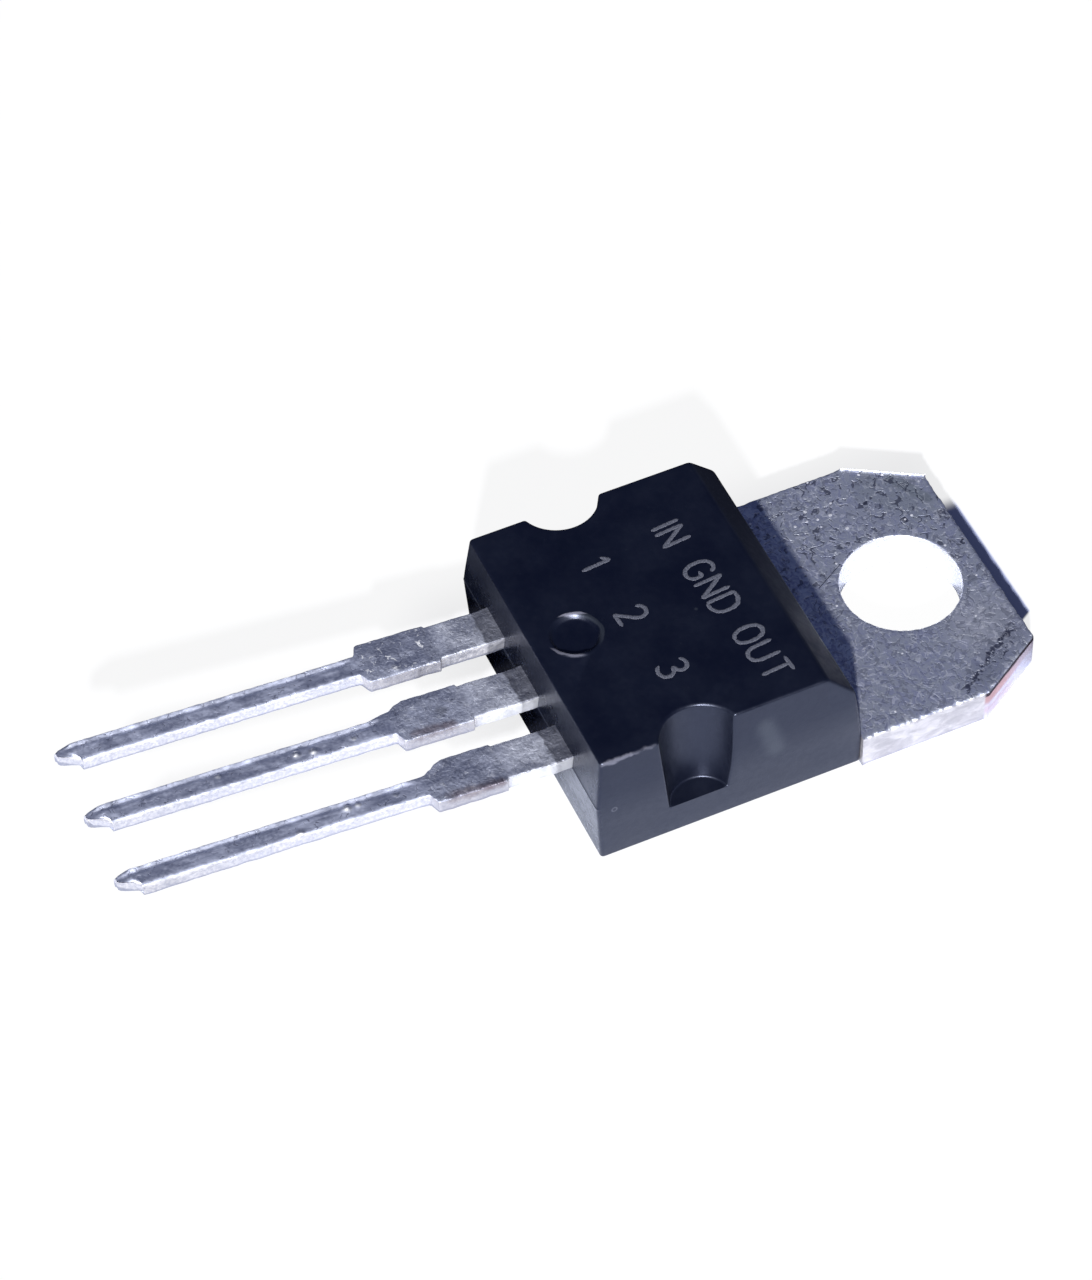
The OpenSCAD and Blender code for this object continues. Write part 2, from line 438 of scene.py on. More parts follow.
def smears(where, ragged, pit, chips):
    """The moulding's pale specks, smears and chips (the chips' paleness a painted glint), with a painted
    sheen along the bevel and a painted highlight on the far inner wall of the ejector mark's rim.
    """
    specks = ramp(cells(where, 0.55), 0.0, 0.08, 0.2, 0.0)
    return highest(specks, rod(ragged, *SMEAR_ROD) * 0.9, rod(ragged, *SHEEN_ROD) * 0.7,
                   spot(where, *DOT_SPOT) * 0.7, pit * 0.8, chips,
                   rim_arc(ragged, (-0.35, 0.94), 0.1, 0.6) * 0.75)


def worn_edge(where, pit):
    """The worn upper corner at the lead end, on the near side."""
    frayed = shaken(where, 0.3, 0.12)
    return highest(rod(frayed, *WORN_ROD), rod(frayed, *FAINT_ROD) * 0.6, pit * 0.35)


def rim_highlights(ragged):
    """Painted highlights: the two places where the ejector mark's rim catches the light, painted pale."""
    return highest(rim_arc(ragged, (-0.95, 0.3), 0.72, 0.80) * 0.9,
                   rim_arc(ragged, (0.75, -0.66), 0.66, 0.80) * 0.5)


def moulding_material():
    """Dull black epoxy with a bluish sheen, pale specks and the photo's smears."""
    made, where, shader = new_material("black_moulding")
    ragged = shaken(where, 0.5, 0.08)
    cloud = speckle(where, 1.6, 3.0)
    grit = speckle(where, 0.07, 3.0, 0.65)
    fine = speckle(where, 0.22)
    pit = ring_at(where, *PIT_RING)
    bevel = on_bevel(where)
    at_end = ramp_mm(axis(where, "Y"), LEAD_END + 0.02, LEAD_END + 0.2, 1.0, 0.0)
    chips = worms(where, 0.3, 0.03, 0.54) * (at_end * 0.8)
    tone = layers(mix(ramp(cloud, 0.3, 0.7), *EPOXY), (bevel * 0.3, BEVEL_SHEEN_TONE),
                  (smears(where, ragged, pit, chips), SMEAR_AND_SHEEN_TONE), (worn_edge(where, pit), WORN_TONE),
                  (rim_highlights(ragged), RIM_HIGHLIGHT_TONE))
    gloss = ramp(cloud, 0.25, 0.75, 0.33, 0.42) + ramp(fine, 0.3, 0.7, -0.04, 0.04)
    gloss = gloss + bevel * 0.16 - at_end * 0.15
    bump = relief(fine, 0.35, 0.01, relief(grit, 0.5, 0.006))
    dress(shader, tone, gloss, relief(chips, 0.6, 0.02, bump))
    shader.inputs["IOR"].default_value = 1.6
    shader.inputs["Specular Tint"].default_value = (0.70, 0.76, 1.0, 1.0)
    return made


def print_material():
    made, where, shader = new_material("laser_mark")
    grain = speckle(where, 0.05, 3.0, 0.7)
    tone = mix(ramp(grain, 0.3, 0.7), *PRINT)
    dress(shader, tone, ramp(grain, 0.2, 0.8, 0.6, 0.85), relief(grain, 0.6, 0.01))
    return made


# Tin plate of the tab

WHITE = (1.0, 1.0, 1.0)
PLATE = ((0.50, 0.53, 0.69), (0.92, 0.95, 1.0))
PLATE_ROLLED = (0.52, 0.55, 0.67)
PLATE_DULL = (0.44, 0.49, 0.50)
PLATE_SHADE = (0.28, 0.31, 0.42)
PLATE_SCRATCH = (0.11, 0.12, 0.19)
PLATE_GLINT = (0.97, 0.97, 1.0)
CUT = ((0.50, 0.48, 0.49), (0.76, 0.73, 0.72))
CUT_FOOT = (0.32, 0.32, 0.40)
CHAMFER_TIN = (0.74, 0.73, 0.84)
CHAMFER_COPPER = (0.58, 0.33, 0.31)
CHAMFER_EDGE = (0.06, 0.045, 0.06)
# Rods on the tab's face, in plan
STROKES = (((4.72, -0.25), (4.0, 0.9), 0.03, 0.10), ((3.9, 0.95), (3.1, 2.2), 0.06, 0.12),
           ((4.1, 1.2), (3.5, 2.1), 0.01, 0.08))
HAIR_LINE = ((-0.90, -2.40), (-1.50, -1.37), 0.004, 0.025)
SCRIBED_LINE = ((-5.0, -2.12), (5.0, -2.08), 0.01, 0.06)
SMUDGE = ((-4.0, 1.69), (-2.8, 2.3), 0.1, 0.22)
DULL_AREA = ((-3.9, 0.9), (-2.6, 1.9), 0.3, 0.6)
SHADE_AREA = ((4.5, 0.5), (3.2, 2.2), 0.1, 0.7)
NICKS = ((-3.44, 0.49, 0.07), (-2.26, 1.31, 0.09), (-0.70, 2.5, 0.07), (-1.99, -0.07, 0.05))
GLINTS = ((-3.92, -1.40), (-3.46, -0.74), (-2.74, -0.50))
CLEAN_SPOT = ((2.6, 1.6, TAB_T), 0.3, 1.6)
BORE_SPOT = ((0.0, 0.0, 0.0), HOLE_R + 0.1, 0.05)


def on_face(where, mark):
    """1 along a rod on the tab's face."""
    a, b, half, soft = mark
    return rod(where, (*a, TAB_T), (*b, TAB_T), half, soft)


def tab_scuffs(where):
    """The tab's own marks: ragged strokes by the near chamfer, nicks, a hair line and a scribed line."""
    ragged = shaken(where, 0.25, 0.3)
    strokes = highest(*[on_face(ragged, mark) for mark in STROKES])
    nicks = [spot(ragged, (x, y, TAB_T), r, 0.06) for x, y, r in NICKS]
    return highest(strokes * ramp(speckle(where, 0.14), 0.36, 0.46), on_face(where, HAIR_LINE),
                   on_face(where, SCRIBED_LINE) * 0.18, *nicks)


def chamfer_way(where):
    """The distance out along the near chamfer's normal."""
    return measure("DOT_PRODUCT", where, (*CHAMFER_WAY, 0.0))


def near_chamfer(where):
    """1 on the wall of the near chamfer."""
    return ramp_mm(chamfer_way(where), CHAMFER_REACH - 0.10, CHAMFER_REACH - 0.05)


def chamfer_tone(where):
    """Bare copper and grey smears on the near chamfer, darkest along its upper edge."""
    smeared = shaken(stretched(where, (0.35, 0.35, 1.3)), 0.4, 0.15)
    patch = ramp(speckle(smeared, 0.45), 0.42, 0.62)
    height = axis(smeared, "Z")
    bare = highest(patch * 0.4, ramp_mm(height, 0.75, 1.1) * 0.85)
    bare *= ramp_mm(axis(where, "Y"), 1.0, 2.4, 1.0, 0.35)
    return layers(CHAMFER_TIN, (bare, CHAMFER_COPPER), (ramp_mm(height, 1.36, 1.46), CHAMFER_EDGE))


def cut_tone(where):
    """The tab's walls: pale, darker at their foot, painted white in the hole as a painted reflection of the
    white floor, and coppery on the near chamfer.
    """
    smeared = speckle(stretched(where, (0.5, 0.5, 1.0)), 0.35, 3.0, 0.6, 0.5)
    bore = spot(stretched(where, (1.0, 1.0, 0.0)), *BORE_SPOT)
    return layers(mix(ramp(smeared, 0.3, 0.7), *CUT),
                  (ramp_mm(axis(where, "Z"), 0.04, 0.12, 0.6, 0.0), CUT_FOOT), (bore, PLATE_GLINT),
                  (near_chamfer(where), chamfer_tone(where)))


def tab_material():
    """Dull tin plate with crooked dark scratches, small glints and paler cut walls."""
    made, where, shader = new_material("tin_plate")
    wall = upright(where)
    grain = speckle(stretched(where, (0.75, 1.0, 1.0)), 0.24, 2.0, 0.5, 1.4)
    rolled = speckle(stretched(where, (1.0, 0.22, 1.0)), 0.14, 3.0, 0.6, 0.3)
    scratch = worms(where, 0.40, 0.06, 0.50) * ramp_mm(axis(where, "X"), -3.0, 4.0, 1.0, 0.3)
    fine_scratch = worms(shifted(where, 3.1), 0.34, 0.08, 0.49)
    shine_line = worms(shifted(where, 5.7), 0.32, 0.06, 0.48)
    glint = highest(flecks(where, 0.38, 0.3), shine_line * 0.32,
                    *[spot(where, (x, y, TAB_T), 0.04, 0.04) for x, y in GLINTS])
    dark = highest(scratch * 0.75, fine_scratch * 0.30, tab_scuffs(where) * 0.92)
    torn = shaken(where, 0.6, 0.3)
    dull = highest(on_face(shaken(where, 0.4, 0.15), SMUDGE) * 0.6, on_face(torn, DULL_AREA) * 0.3)
    face = layers(mix(ramp(grain, 0.32, 0.68), *PLATE),
                  (ramp(rolled, 0.35, 0.7, 0.0, 0.15), PLATE_ROLLED),
                  (spot(where, *CLEAN_SPOT) * 0.45, WHITE), (dull, PLATE_DULL),
                  (on_face(torn, SHADE_AREA) * 0.35, PLATE_SHADE), (dark, PLATE_SCRATCH),
                  (glint, PLATE_GLINT))
    gloss = ramp(grain, 0.3, 0.7, 0.62, 0.52) + glint * 0.15
    height = (grain * 0.5 - dark * 0.9 + glint * 0.6) * (1.0 - wall * 0.85)
    dress(shader, mix(wall, face, cut_tone(where)), gloss, relief(height, 0.6, 0.028), 1.0)
    return made


# Tin on the leads

TIN = ((0.58, 0.61, 0.73), (0.80, 0.83, 0.95))
TIN_POCK = (0.22, 0.23, 0.32)
SIDE = ((0.68, 0.67, 0.71), (0.87, 0.85, 0.85))
SIDE_FOOT = (0.30, 0.32, 0.42)
SIDE_ROOT_HIGHLIGHT = (1.0, 0.99, 0.97)
SIDE_STUB = (0.36, 0.34, 0.36)
STUB_TONE = (0.30, 0.31, 0.37)
STUB_CRUST = (0.46, 0.48, 0.56)
COPPER_TONE = (0.40, 0.25, 0.21)
RUBBED_TONE = (0.15, 0.085, 0.10)
STAIN_TONE = (0.14, 0.15, 0.19)
NEAR_MOULDING_TONE = (0.14, 0.145, 0.19)
COPPER_SPOT = ((-2.1, -16.9, 3.2), 0.05, 0.10)
RUBBED_EDGES = (((0.60, -16.65, 3.27), (0.64, -15.45, 3.25)), ((3.18, -16.60, 3.27), (3.24, -14.95, 3.22)))
STAIN_SPOT = ((0.05, -15.56, 3.25), 0.1, 0.15)


def bead_spots(where):
    """1 on the shiny beads of tin on the leads, where they get a painted white highlight."""
    made = []
    for side, beads in BEADS.items():
        for x, s, r, _ in beads:
            at = (side * PITCH + x, LEAD_END - s, PARTING + LEAD_T + (s - LIFT_FROM) * LEAD_LIFT)
            made.append(spot(where, at, r * 0.5, r * 0.7))
    return highest(*made)


def lead_side_tone(where, grain, root, stub):
    """The leads' walls: darker along their foot, painted white near the moulding as a painted highlight, and
    brownish on the stubs.
    """
    rise = measure("DOT_PRODUCT", where, (0.0, LEAD_LIFT, 1.0))
    foot = PARTING + (LEAD_END - LIFT_FROM) * LEAD_LIFT
    return layers(mix(ramp(grain, 0.3, 0.7), *SIDE),
                  (ramp_mm(rise, foot + 0.06, foot + 0.16, 0.65, 0.0), SIDE_FOOT), (root, SIDE_ROOT_HIGHLIGHT),
                  (stub * 0.5, SIDE_STUB))


def lead_material():
    """Tin dipped on leads: bright streaks along them, paler sides, rubbed edges and bare copper, with painted
    highlights on the stubs, the beads and the roots' sides.
    """
    made, where, shader = new_material("lead_tin")
    wall = upright(where)
    streak = speckle(stretched(where, (1.0, 0.22, 1.0)), 0.13, 3.0, 0.6, 0.4)
    puddle = speckle(stretched(where, (1.0, 0.5, 1.0)), 0.5)
    grain = speckle(where, 0.09, 3.0, 0.6)
    crust = speckle(where, 0.2, 2.0, 0.55, 1.0)
    pock = worms(where, 0.28, 0.03, 0.52)
    along = axis(shaken(where, 0.3, 0.12), "Y")
    stub = ramp_mm(along, LEAD_END - 4.6, LEAD_END - 4.2)
    stub *= ramp_mm(along, LEAD_END - 2.15, LEAD_END - 1.85, 1.0, 0.0)
    root = ramp_mm(along, LEAD_END - 2.6, LEAD_END - 1.4)
    not_far = ramp_mm(axis(where, "X"), -1.6, -1.2)
    # Painted highlights: white glints on the stubs, strongest on the far lead.
    bright = worms(shifted(where, 4.4), 0.34, 0.04, 0.54) * (1.0 - not_far * 0.65) * stub
    bead = bead_spots(where)
    top = layers(mix(ramp(streak, 0.3, 0.7), *TIN), (pock * 0.6, TIN_POCK),
                 (stub * 0.10, STUB_TONE), (stub * ramp(crust, 0.3, 0.7, 0.0, 0.5), STUB_CRUST),
                 (bright, WHITE), (root * 0.42, WHITE), (bead, WHITE))
    ragged = shaken(where, 0.2, 0.1)
    rubbed = highest(*[rod(ragged, a, b, 0.02, 0.24) for a, b in RUBBED_EDGES])
    # Darker within about half a millimetre of the moulding, less so on the walls.
    near_moulding_dark = ramp_mm(along, LEAD_END - 0.56, LEAD_END - 0.48) * 0.72 * (1.0 - wall * 0.6)
    # The painted highlight on the roots' sides goes on the middle and near leads only.
    tone = layers(mix(wall, top, lead_side_tone(where, grain, root * (not_far * 0.9), stub)),
                  (spot(ragged, *COPPER_SPOT) * 0.7, COPPER_TONE), (rubbed * 0.65, RUBBED_TONE),
                  (spot(ragged, *STAIN_SPOT) * 0.5, STAIN_TONE), (near_moulding_dark, NEAR_MOULDING_TONE))
    gloss = ramp(puddle, 0.35, 0.65, 0.54, 0.66) + ramp(grain, 0.3, 0.7, -0.05, 0.05)
    gloss = gloss + bright * 0.15 - bead * 0.15
    height = streak + grain * 0.25 - pock * 0.6 + crust * (highest(stub, root) * 4.5)
    dress(shader, tone, gloss, relief(height * (1.0 - wall * 0.8), 0.5, 0.016), 1.0)
    return made


def plain_metal(name, tint, gloss, grain_mm):
    """Metal or semiconductor for the sealed pieces."""
    made, where, shader = new_material(name)
    grain = speckle(where, grain_mm, 3.0)
    tone = mix(grain, tuple(c * 0.85 for c in tint), tint)
    dress(shader, tone, ramp(grain, 0.3, 0.7, gloss - 0.06, gloss + 0.06), relief(grain, 0.3, 0.003), 1.0)
    return made


# Moulding

EDGE_R = 0.1
CORNER_R = 0.13
LIP = 0.07
FLOOR_FILLET = 0.07
FLASH_OUT = 0.01
FLASH_HALF = 0.03
SIDE_STEPS = (6, 14)
ARC_STEPS = 30
LIP_STEPS = 4
CORNER_STEPS = 5
END_STEPS = 64
SIDE_BEND = 8.0
SKIRT_H = 0.012
INWARD = 1.0
EXTRA_LEVELS = {NOTCH_FLOOR - 0.02, 0.7, 1.9, 2.3, 3.0, 3.9, 4.2}
MARK_PROFILE = ((0.93, 0.0, 0.0), (0.905, 0.25, 0.0), (0.87, 0.85, 0.0), (0.84, 1.0, 0.0), (0.80, 0.9, 0.0),
                (0.785, 0.5, -0.004), (0.765, 0.0, -0.022), (0.70, 0.0, -0.09), (0.675, 0.0, -0.11),
                (0.63, 0.0, -0.12), (0.3, 0.0, -0.12))
MARK_STEPS = 96
WELD_GAP = 0.0004
MARK_NEAR = math.atan2(-0.42, 0.9)


def wall_profile(reach, bend):
    """Upright profile (offset, z) of a drafted wall that reaches furthest at the parting line."""
    return rounded([(reach - INSET_LOW - INWARD, RELIEF), (reach - INSET_LOW, RELIEF), (reach, PARTING),
                    (reach - INSET_TOP, TOP), (reach - INSET_TOP - INWARD, TOP)], [EDGE_R, bend, EDGE_R])


def moulding_profiles():
    """Upright profiles (offset, z) of the side, the lead end and the tab end."""
    inner = BEVEL_Y - BEVEL_RUN
    tab = rounded([(SHOULDER - INWARD, RELIEF), (SHOULDER, RELIEF), (SHOULDER, TAB_T), (BEVEL_Y, BEVEL_Z),
                   (inner, TOP), (inner - INWARD, TOP)], [EDGE_R * 0.5, 0.0, 0.55, 0.3])
    return [p[1:-1] for p in (wall_profile(HALF_W, SIDE_BEND), wall_profile(0.0, 0.0), tab)]


def moulding_levels(profiles):
    """Heights of the rings, bottom to top."""
    heights = {round(p[1], 4) for profile in profiles for p in profile}
    heights |= {PARTING + d for d in (-FLASH_HALF, -0.012, 0.0, 0.012, FLASH_HALF)}
    heights |= {NOTCH_FLOOR + FLOOR_FILLET * t for t in (0.0, 0.05, 0.2, 0.45, 0.75, 1.0)}
    heights |= {TAB_T, TAB_T + SKIRT_H, TAB_T + SKIRT_H + 0.008} | EXTRA_LEVELS
    levels = []
    for z in sorted(heights):
        if not levels or z - levels[-1] > 0.003:
            levels.append(z)
    return levels


def notch_radius(z):
    """Radius of a side notch at height z, with its floor fillet and its rounded lip."""
    r = blend(NOTCH_R_FLOOR, NOTCH_R_TOP, (z - NOTCH_FLOOR) / (TOP - NOTCH_FLOOR))
    low = FLOOR_FILLET - (z - NOTCH_FLOOR)
    if low > 0:
        r -= FLOOR_FILLET - math.sqrt(FLOOR_FILLET ** 2 - low ** 2)
    high = z - (TOP - EDGE_R)
    if high > 0:
        r += EDGE_R - math.sqrt(max(EDGE_R ** 2 - high ** 2, 0.0))
    return r


def notch_points(x, z):
    """Points of one notch in plan, from the lead end to the tab end. Below its floor they lie in line."""
    cx, cy = NOTCH
    r = notch_radius(max(z, NOTCH_FLOOR))
    reach = math.acos((cx - x) / r)
    half = math.sqrt(r * r - (cx - x) ** 2)
    step = LIP / r
    arc = [Vector((cx - r * math.cos(a), cy + r * math.sin(a)))
           for a in (blend(-reach + step, reach - step, i / ARC_STEPS) for i in range(ARC_STEPS + 1))]
    first = corner_curve((x, cy - half - LIP), (x, cy - half), arc[0], LIP_STEPS)
    last = corner_curve(arc[-1], (x, cy + half), (x, cy + half + LIP), LIP_STEPS)
    made = first + arc[1:-1] + last
    if z >= NOTCH_FLOOR - 1e-6:
        return made
    count = len(made) - 1
    return [Vector((x, blend(made[0].y, made[-1].y, i / count))) for i in range(count + 1)]


def side_points(x, y_end, y_tab, z):
    """The +X side of the moulding's ring, from the lead end to the tab end."""
    near = corner_curve((x - CORNER_R, y_end), (x, y_end), (x, y_end + CORNER_R), CORNER_STEPS)
    far = corner_curve((x, y_tab - CORNER_R), (x, y_tab), (x - CORNER_R, y_tab), CORNER_STEPS)
    notch = notch_points(x, z)
    before = between(near[-1], notch[0], SIDE_STEPS[0])
    return near + before + notch + between(notch[-1], far[0], SIDE_STEPS[1]) + far


def skirt(x):
    """How far the thin scalloped flash of plastic reaches over the tab at x."""
    if abs(x) > 4.85:
        return 0.0
    scallop = abs(math.sin(math.pi * (x + 0.35) / 1.45))
    return 0.05 + 0.13 * (1 - scallop) ** 1.5 + 0.04 * ripple(x * 1.3, 4.0, 0)


def moulding_ring(profiles, z):
    """The moulding's outline at height z."""
    side, lead, tab = profiles
    flash = FLASH_OUT * max(0.0, 1 - abs(z - PARTING) / FLASH_HALF)
    x = offset_at(side, z)
    y_end = LEAD_END - offset_at(lead, z) - flash
    y_tab = offset_at(tab, z)
    right = side_points(x, y_end, y_tab, z)
    left = [Vector((-p.x, p.y)) for p in reversed(right)]
    tab_line = between(right[-1], left[0], END_STEPS)
    end_line = between(left[-1], right[0], END_STEPS)
    if TAB_T - 0.001 <= z <= TAB_T + SKIRT_H + 0.001:
        tab_line = [Vector((p.x, p.y + skirt(p.x))) for p in tab_line]
    return [Vector((p.x, p.y, z)) for p in right + tab_line + left + end_line]


def ejector_mark():
    """Rings of the ejector mark from its rim inwards: a lip, raised on the near side, and a flat recess."""
    rings = []
    for r, share, dz in MARK_PROFILE:
        ring = []
        for a in (2 * math.pi * i / MARK_STEPS for i in range(MARK_STEPS)):
            x, y = math.cos(a), math.sin(a)
            uneven = 0.8 + 0.5 * ripple(x * 2.5, y * 2.5, 7)
            lip = 0.008 + 0.046 * uneven * smooth((math.cos(a - MARK_NEAR) - 0.80) / 0.12)
            ring.append(Vector((MARK[0] + r * x, MARK[1] + r * y, TOP + dz + share * lip)))
        rings.append(ring)
    return rings


def as_lists(made):
    """A bmesh's vertices and faces. The bmesh is freed."""
    made.verts.index_update()
    lists = [v.co.copy() for v in made.verts], [tuple(v.index for v in f.verts) for f in made.faces]
    made.free()
    return lists


def fill_between(outer, hole):
    """Flat faces between an outer loop and a hole, as vertex positions and faces."""
    made = bmesh.new()
    edges = []
    for loop in (outer, hole):
        verts = [made.verts.new(p) for p in loop]
        edges += [made.edges.new((a, b)) for a, b in zip(verts, verts[1:] + verts[:1])]
    bmesh.ops.triangle_fill(made, use_beauty=True, edges=edges)
    return as_lists(made)


def weld(shape):
    """Merges vertices that lie on each other."""
    verts, faces = shape
    made = bmesh.new()
    points = [made.verts.new(v) for v in verts]
    for f in faces:
        made.faces.new([points[i] for i in f])
    bmesh.ops.remove_doubles(made, verts=made.verts, dist=WELD_GAP)
    return as_lists(made)


def moulding(material):
    profiles = moulding_profiles()
    rings = [moulding_ring(profiles, z) for z in moulding_levels(profiles)]
    skin = loft(rings, cap_end=False)
    mark = ejector_mark()
    recess = loft(mark, cap_start=False)
    top = fill_between(rings[-1], mark[0])
    make_piece("moulding", weld(join(skin, recess, top)), material, ("moulded_body",), 32)


# Tab with its pad and the middle lead

BURR_H = 0.05
TAB_BACK = SHOULDER - 0.02
OUTLINE_STEP = 0.06
FACE_RINGS = 26
HOLE_SEED = 3.0
EDGE_SEED = 9.0
PAD_CORNER = 0.2


def tab_outline():
    """Closed plan of the tab, with rounded corners and evenly spaced points, and the outward normals."""
    far, slope, end = TAB_HALF, TAB_END - CORNER_RUN, TAB_HALF - CORNER_IN
    corners = [(0, TAB_BACK), (far, TAB_BACK), (far, slope), (end, TAB_END),
               (-end, TAB_END), (-far, slope), (-far, TAB_BACK), (0, TAB_BACK)]
    line = rounded(corners, [0.0, 0.1, 0.16, 0.12, 0.14, 0.0], 4)
    points = []
    for a, b in zip(line, line[1:]):
        parts = max(1, round((b - a).length / OUTLINE_STEP))
        points += [a.lerp(b, i / parts) for i in range(parts)]
    count = len(points)
    normals = []
    for i in range(count):
        along = points[(i + 1) % count] - points[i - 1]
        normals.append(Vector((along.y, -along.x)).normalized())
    return points, normals


def tab_edge_profile(p):
    """(inset, z) from the top face down the wall to the back. The edge is ragged on the near side, worn down
    along the tab's end, and has a raised burr along the far chamfer."""
    ragged = smooth((p.x - 4.9) / 0.1)
    wobble = 0.7 + 0.5 * ripple(p.x * 2.2, p.y * 2.2, EDGE_SEED)
    wobble += blend(0.3, 0.75, ragged) * ripple(p.x * 8, p.y * 8, EDGE_SEED + 4)
    held = smooth((p.y - SHOULDER) / 0.15)
    worn = blend(1.0, 1.7, smooth((p.y - 2.6) / 0.1)) + 0.3 * ragged
    r = max(0.03, 0.085 * wobble * worn) * held + 0.001
    low = 0.05 * held + 0.001
    burr = BURR_H * smooth((CHAMFER_WAY.dot(Vector((-p.x, p.y))) - CHAMFER_REACH + 0.07) / 0.06)
    r = blend(r, 0.04, burr / BURR_H)
    return [(r * 1.6, TAB_T + burr * 0.25), (r * 0.9, TAB_T - r * 0.08 + burr),
            (r * 0.35, TAB_T - r * 0.42 + burr), (r * 0.06, TAB_T - r),
            (0.0, TAB_T - r * 1.6 - 0.02), (0.0, 0.85), (0.0, 0.5), (0.0, 0.25), (0.0, low + 0.02),
            (low * 0.3, low * 0.3), (low, 0.0)]


def hole_edge_profile(p):
    """(outset, z) from the back up the hole's wall to the top face."""
    r = 0.06 * (0.7 + 0.5 * ripple(p.x * 2, p.y * 2, HOLE_SEED))
    return [(0.04, 0.0), (0.012, 0.012), (0.0, 0.05), (0.0, 0.4), (0.0, 0.8), (0.0, TAB_T - r * 1.5),
            (r * 0.12, TAB_T - r * 0.7), (r * 0.5, TAB_T - r * 0.2), (r * 1.2, TAB_T)]


def tab_plate():
    """The plate round the hole, as one closed skin of rings that all follow the outline."""
    points, normals = tab_outline()
    towards = [p.normalized() for p in points]
    hole = [hole_edge_profile(p) for p in points]
    edge = [tab_edge_profile(p) for p in points]
    rings = []
    for k in range(len(hole[0])):
        rings.append([Vector((*(t * (HOLE_R + h[k][0])), h[k][1])) for t, h in zip(towards, hole)])
    inner = rings[-1]
    outer = [Vector((*(p - n * e[0][0]), TAB_T)) for p, n, e in zip(points, normals, edge)]
    for k in range(1, FACE_RINGS):
        ring = []
        for a, b in zip(inner, outer):
            q = a.lerp(b, k / FACE_RINGS)
            q.z += lumps(q, 0.55, 0.0035) + lumps(q, 0.17, 0.0018, 5.0)
            ring.append(q)
        rings.append(ring)
    for k in range(len(edge[0])):
        ring = []
        for p, n, e in zip(points, normals, edge):
            wave = lumps((p.x, p.y, e[k][1]), 0.5, 0.006, 2.0) if 0 < k < len(edge[0]) - 1 else 0.0
            q = p - n * (e[k][0] + abs(wave))
            ring.append(Vector((q.x, q.y, e[k][1])))
        rings.append(ring)
    last, first = rings[-1], rings[0]
    for k in range(1, 4):
        rings.append([a.lerp(b, k / 4) for a, b in zip(last, first)])
    return loft(rings, closed=True)


def pad_ring(inset, z):
    """A ring round the pad at height z, set in from its widest outline."""
    half, y = PAD_HALF - inset, PAD_Y + inset
    near = corner_curve((half, y + PAD_CORNER), (half, y), (half - PAD_CORNER, y), 4)
    far = [Vector((-p.x, p.y)) for p in reversed(near)]
    plan = [Vector((half, TAB_BACK))] + near + far + [Vector((-half, TAB_BACK))]
    return [Vector((p.x, p.y, z)) for p in plan]


def pad_block():
    """The pad that shows at the back, with the ledge that the plastic grips."""
    return loft([pad_ring(inset, z) for inset, z in (
        (LEDGE + 0.03, 0.0), (LEDGE + 0.008, 0.012), (LEDGE, 0.04), (LEDGE, LEDGE_H),
        (0.0, LEDGE_H + 0.001), (0.0, TAB_T))])


# Leads

STUB_FROM = 2.05
STUB_STEP = 0.05
ROOT_HALF = 0.69
STUB_HALF = 0.78
NARROW_HALF = 0.4
TIP_HALF = 0.25
TIP_RUN = 0.5
TIP_BEND = 0.7
TIP_SKEW = 0.6
TIP_SPIKE = 0.1
TIP_THIN = 0.1
TIP_THIN_RUN = 0.6
NARROW_FROM = 4.5
CROWN_H = 0.034
STATION_STEP = 0.06
BURIED_HALF = {-1: 1.0, 0: 1.1, 1: 1.0}
NECKS = {
    -1: ([(4.28, 0.78), (4.50, 0.40)], [(4.37, 0.78), (4.60, 0.40)]),
    0: ([(3.80, 0.78), (4.03, 0.72), (4.41, 0.53), (5.20, 0.40)], [(4.30, 0.78), (4.47, 0.40)]),
    1: ([(3.60, 0.77), (3.85, 0.70), (4.10, 0.52), (4.36, 0.38)], [(4.30, 0.78), (4.48, 0.40)]),
}
MIDDLE_INNER = ((PAD_Y + LEDGE, TAB_T - LEAD_T), (PAD_Y - 0.15, TAB_T - LEAD_T), (PAD_Y - 1.35, PARTING),
                (LEAD_END, PARTING))
OUTER_INNER = ((LEAD_END + 2.4, PARTING), (LEAD_END, PARTING))
BEADS = {
    -1: [(0.50, 3.45, 0.15, 0.10)],
    0: [(0.02, 7.5, 0.16, 0.10), (0.1, 7.0, 0.15, 0.09), (-0.08, 9.95, 0.12, 0.06), (0.08, 5.7, 0.1, 0.05)],
    1: [(-0.05, 6.9, 0.16, 0.09), (-0.06, 6.55, 0.11, 0.07), (0.3, 8.5, 0.15, 0.04), (0.0, 5.37, 0.1, 0.04)],
}


def width_at(table, s):
    """Half width at distance s from a table of (distance, half width), eased between its points."""
    if s <= table[0][0]:
        return table[0][1]
    for (s0, w0), (s1, w1) in zip(table, table[1:]):
        if s <= s1:
            return blend(w0, w1, smooth((s - s0) / (s1 - s0)))
    return table[-1][1]


def lead_half_widths(side, s):
    """Half widths of a lead towards -X and +X at distance s outside the moulding."""
    if s < STUB_FROM + STUB_STEP:
        root = blend(ROOT_HALF, STUB_HALF, smooth((s - STUB_FROM) / STUB_STEP))
        return root, root
    if s < LEAD_LEN - TIP_RUN:
        return width_at(NECKS[side][0], s), width_at(NECKS[side][1], s)
    tip = ((s - LEAD_LEN + TIP_RUN) / TIP_RUN) ** 1.6
    return blend(NARROW_HALF, NARROW_HALF * 0.93, tip), blend(NARROW_HALF, TIP_HALF, tip)


